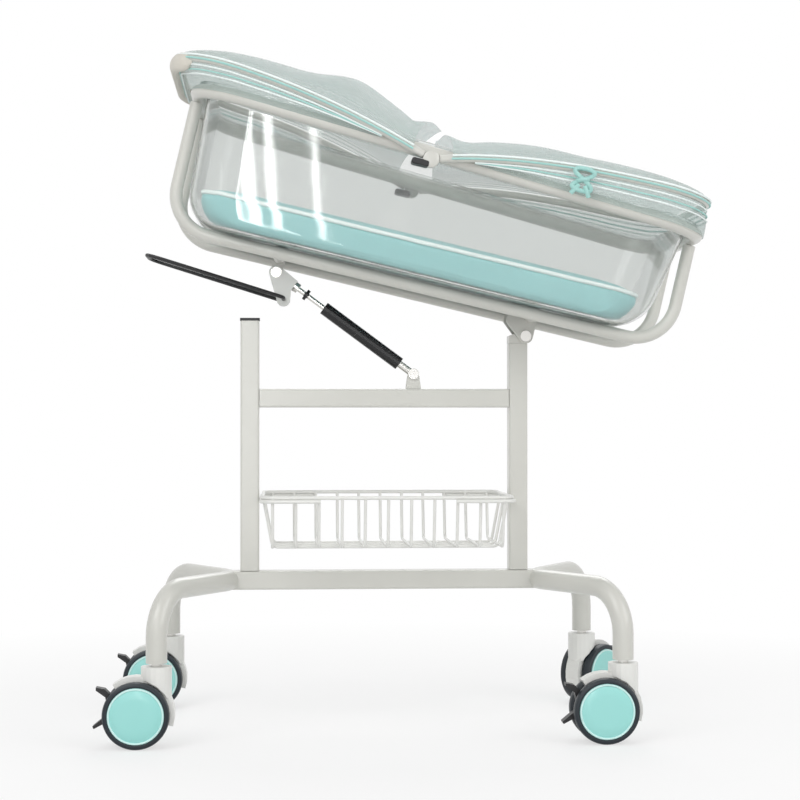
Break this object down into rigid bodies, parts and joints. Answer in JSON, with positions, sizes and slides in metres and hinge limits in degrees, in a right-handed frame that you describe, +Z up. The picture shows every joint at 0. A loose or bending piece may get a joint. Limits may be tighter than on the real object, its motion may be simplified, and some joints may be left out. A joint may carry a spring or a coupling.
{
  "type": "hospital bassinet",
  "caption": "Clear infant tub in a tube cot that tilts on a wheeled frame, with a locking gas spring, net hoods, a wire basket and braked twin-wheel casters.",
  "frame": {"origin": "point on the floor midway between the two posts, on the frame's mid-plane", "axes": "+Z up, +X toward the foot end, +Y away from the near side"},
  "size_m": [0.9488, 0.4971, 1.0598],
  "materials": {
    "frame_paint": "warm off-white powder coat",
    "bright_steel": "bright plated steel",
    "spring_paint": "black satin paint",
    "black_plastic": "black moulded",
    "white_plastic": "white moulded",
    "teal_plastic": "pale teal moulded",
    "tyre": "dark tread",
    "clear_acrylic": "clear polished sheet",
    "teal_cloth": "woven cover",
    "net_cloth": "fine mesh"
  },
  "bodies": {
    "base": {"head_post": "frame_paint", "foot_post": "frame_paint", "lower_bar": "frame_paint", "top_bar": "frame_paint", "head_leg_tube": "frame_paint", "foot_leg_tube": "frame_paint", "post_cap": "black_plastic", "hinge_bracket": "frame_paint", "hinge_bolt": "bright_steel", "spring_bracket": "frame_paint", "spring_lower_pin": "bright_steel", "basket": "frame_paint", "head_near_stem": "bright_steel", "head_far_stem": "bright_steel", "foot_near_stem": "bright_steel", "foot_far_stem": "bright_steel"},
    "cot": {"near_rail": "frame_paint", "far_rail": "frame_paint", "rim_tube": "frame_paint", "head_cross_tube": "frame_paint", "foot_cross_tube": "frame_paint", "spring_upper_pin": "bright_steel", "tub": "clear_acrylic", "mattress": "teal_cloth", "near_clip": "black_plastic", "far_clip": "black_plastic", "head_skirt": "net_cloth", "foot_skirt": "net_cloth"},
    "head_hood": {"head_bow": "frame_paint", "head_net": "net_cloth"},
    "foot_hood": {"foot_bow": "frame_paint", "foot_net": "net_cloth"},
    "cylinder": {"spring_cylinder": "spring_paint"},
    "rod": {"spring_rod": "bright_steel", "release_head": "bright_steel"},
    "handle": {"release_handle": "black_plastic"},
    "head_near_caster": {"head_near_housing": "white_plastic"},
    "head_near_outer": {"head_near_outer_wheel": "tyre", "head_near_outer_cover": "teal_plastic"},
    "head_near_inner": {"head_near_inner_wheel": "tyre", "head_near_inner_cover": "teal_plastic"},
    "head_near_pedal": {"head_near_brake_pedal": "black_plastic"},
    "head_far_caster": {"head_far_housing": "white_plastic"},
    "head_far_outer": {"head_far_outer_wheel": "tyre", "head_far_outer_cover": "teal_plastic"},
    "head_far_inner": {"head_far_inner_wheel": "tyre", "head_far_inner_cover": "teal_plastic"},
    "head_far_pedal": {"head_far_brake_pedal": "black_plastic"},
    "foot_near_caster": {"foot_near_housing": "white_plastic"},
    "foot_near_outer": {"foot_near_outer_wheel": "tyre", "foot_near_outer_cover": "teal_plastic"},
    "foot_near_inner": {"foot_near_inner_wheel": "tyre", "foot_near_inner_cover": "teal_plastic"},
    "foot_near_pedal": {"foot_near_brake_pedal": "black_plastic"},
    "foot_far_caster": {"foot_far_housing": "white_plastic"},
    "foot_far_outer": {"foot_far_outer_wheel": "tyre", "foot_far_outer_cover": "teal_plastic"},
    "foot_far_inner": {"foot_far_inner_wheel": "tyre", "foot_far_inner_cover": "teal_plastic"},
    "foot_far_pedal": {"foot_far_brake_pedal": "black_plastic"}
  },
  "joints": [
    {"name": "cot_tilt", "type": "hinge", "parent": "base", "child": "cot", "pos_m": [0.22625, 0, 0.6216], "axis": [0, 1, 0], "range_deg": [-13.2, 0]},
    {"name": "spring_swing", "type": "hinge", "parent": "base", "child": "cylinder", "pos_m": [0.0467, 0, 0.5608], "axis": [0, 1, 0], "range_deg": [-20.1, 0]},
    {"name": "spring_stroke", "type": "slide", "parent": "cylinder", "child": "rod", "axis": [-0.8049, 0, 0.5934], "range_m": [-0.0312, 0]},
    {"name": "handle_lift", "type": "hinge", "parent": "rod", "child": "handle", "pos_m": [-0.16169, 0, 0.68041], "axis": [0, 1, 0], "range_deg": [0, 6]},
    {"name": "head_hood_open", "type": "hinge", "parent": "cot", "child": "head_hood", "pos_m": [0.05874, 0, 0.8796], "axis": [0, 1, 0], "range_deg": [0, 45], "deforming": ["head_net"]},
    {"name": "foot_hood_open", "type": "hinge", "parent": "cot", "child": "foot_hood", "pos_m": [0.05874, 0, 0.8796], "axis": [0, -1, 0], "range_deg": [0, 45], "deforming": ["foot_net"]},
    {"name": "head_near_swivel", "type": "hinge", "parent": "base", "child": "head_near_caster", "pos_m": [-0.3515, -0.195, 0.1], "axis": [0, 0, 1], "continuous": true},
    {"name": "head_near_outer_roll", "type": "hinge", "parent": "head_near_caster", "child": "head_near_outer", "pos_m": [-0.3805, -0.195, 0.05], "axis": [0, 1, 0], "continuous": true},
    {"name": "head_near_inner_roll", "type": "hinge", "parent": "head_near_caster", "child": "head_near_inner", "pos_m": [-0.3805, -0.195, 0.05], "axis": [0, 1, 0], "continuous": true},
    {"name": "head_near_brake", "type": "hinge", "parent": "head_near_caster", "child": "head_near_pedal", "pos_m": [-0.4135, -0.195, 0.058], "axis": [0, 1, 0], "range_deg": [-12, 0]},
    {"name": "head_far_swivel", "type": "hinge", "parent": "base", "child": "head_far_caster", "pos_m": [-0.3515, 0.195, 0.1], "axis": [0, 0, 1], "continuous": true},
    {"name": "head_far_outer_roll", "type": "hinge", "parent": "head_far_caster", "child": "head_far_outer", "pos_m": [-0.3805, 0.195, 0.05], "axis": [0, 1, 0], "continuous": true},
    {"name": "head_far_inner_roll", "type": "hinge", "parent": "head_far_caster", "child": "head_far_inner", "pos_m": [-0.3805, 0.195, 0.05], "axis": [0, 1, 0], "continuous": true},
    {"name": "head_far_brake", "type": "hinge", "parent": "head_far_caster", "child": "head_far_pedal", "pos_m": [-0.4135, 0.195, 0.058], "axis": [0, 1, 0], "range_deg": [-12, 0]},
    {"name": "foot_near_swivel", "type": "hinge", "parent": "base", "child": "foot_near_caster", "pos_m": [0.3515, -0.195, 0.1], "axis": [0, 0, 1], "continuous": true},
    {"name": "foot_near_outer_roll", "type": "hinge", "parent": "foot_near_caster", "child": "foot_near_outer", "pos_m": [0.3225, -0.195, 0.05], "axis": [0, 1, 0], "continuous": true},
    {"name": "foot_near_inner_roll", "type": "hinge", "parent": "foot_near_caster", "child": "foot_near_inner", "pos_m": [0.3225, -0.195, 0.05], "axis": [0, 1, 0], "continuous": true},
    {"name": "foot_near_brake", "type": "hinge", "parent": "foot_near_caster", "child": "foot_near_pedal", "pos_m": [0.2895, -0.195, 0.058], "axis": [0, 1, 0], "range_deg": [-12, 0]},
    {"name": "foot_far_swivel", "type": "hinge", "parent": "base", "child": "foot_far_caster", "pos_m": [0.3515, 0.195, 0.1], "axis": [0, 0, 1], "continuous": true},
    {"name": "foot_far_outer_roll", "type": "hinge", "parent": "foot_far_caster", "child": "foot_far_outer", "pos_m": [0.37236, 0.21515, 0.05], "axis": [0.6947, -0.7193, 0], "continuous": true},
    {"name": "foot_far_inner_roll", "type": "hinge", "parent": "foot_far_caster", "child": "foot_far_inner", "pos_m": [0.37236, 0.21515, 0.05], "axis": [0.6947, -0.7193, 0], "continuous": true},
    {"name": "foot_far_brake", "type": "hinge", "parent": "foot_far_caster", "child": "foot_far_pedal", "pos_m": [0.3961, 0.23807, 0.058], "axis": [0.6947, -0.7193, 0], "range_deg": [-12, 0]}
  ],
  "couplings": [
    {"joint": "spring_swing", "follows": "cot_tilt", "ratio": 1.515},
    {"joint": "spring_stroke", "follows": "cot_tilt", "m_per_rad": 0.1346}
  ]
}
